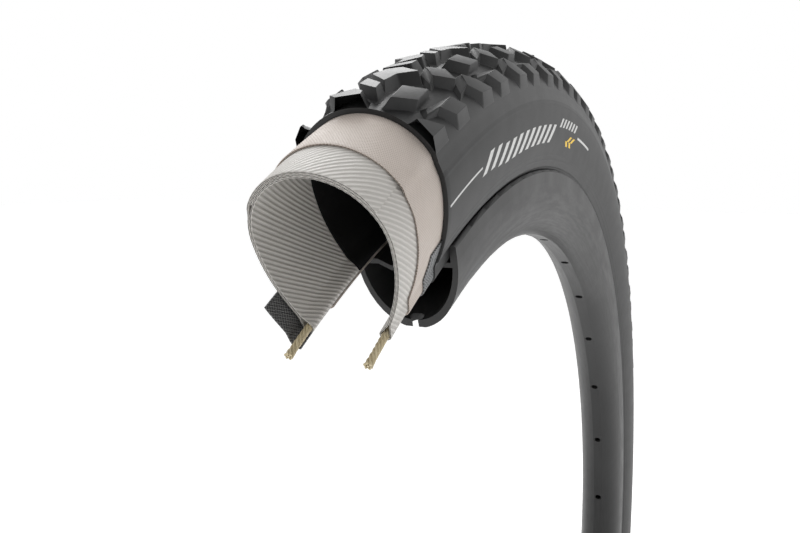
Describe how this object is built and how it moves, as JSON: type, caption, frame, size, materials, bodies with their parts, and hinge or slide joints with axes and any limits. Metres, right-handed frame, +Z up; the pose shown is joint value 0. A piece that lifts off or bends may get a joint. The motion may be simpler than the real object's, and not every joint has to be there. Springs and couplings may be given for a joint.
{
  "type": "bicycle tyre",
  "caption": "Sectioned bicycle tyre with block tread, its layers stepped back to show belt, cord plies, liner and beads, seated on a hollow rim.",
  "frame": {"origin": "centre of the wheel, on the rim's middle plane", "axes": "+Y is the wheel's axle, +Z is up, and the sectioned end faces -X and up"},
  "size_m": [0.73, 0.0424, 0.73],
  "materials": {
    "tread_rubber": "matt black tread rubber",
    "sidewall_rubber": "satin black side wall rubber",
    "belt_fabric": "fine woven cream fabric",
    "ply_fabric": "grey rubber-coated cord fabric",
    "liner_rubber": "matt black butyl",
    "bead_fibre": "golden twisted fibre",
    "chafer_fabric": "dark grey woven strip",
    "rim_carbon": "matt black moulded carbon fibre"
  },
  "bodies": {
    "root": {"tread": "tread_rubber", "sidewall_left": "sidewall_rubber", "sidewall_right": "sidewall_rubber", "puncture_belt": "belt_fabric", "carcass_ply": "ply_fabric", "inner_liner": "liner_rubber", "bead_core_left": "bead_fibre", "bead_core_right": "bead_fibre", "chafer_left": "chafer_fabric", "chafer_right": "chafer_fabric", "rim": "rim_carbon"}
  },
  "joints": []
}
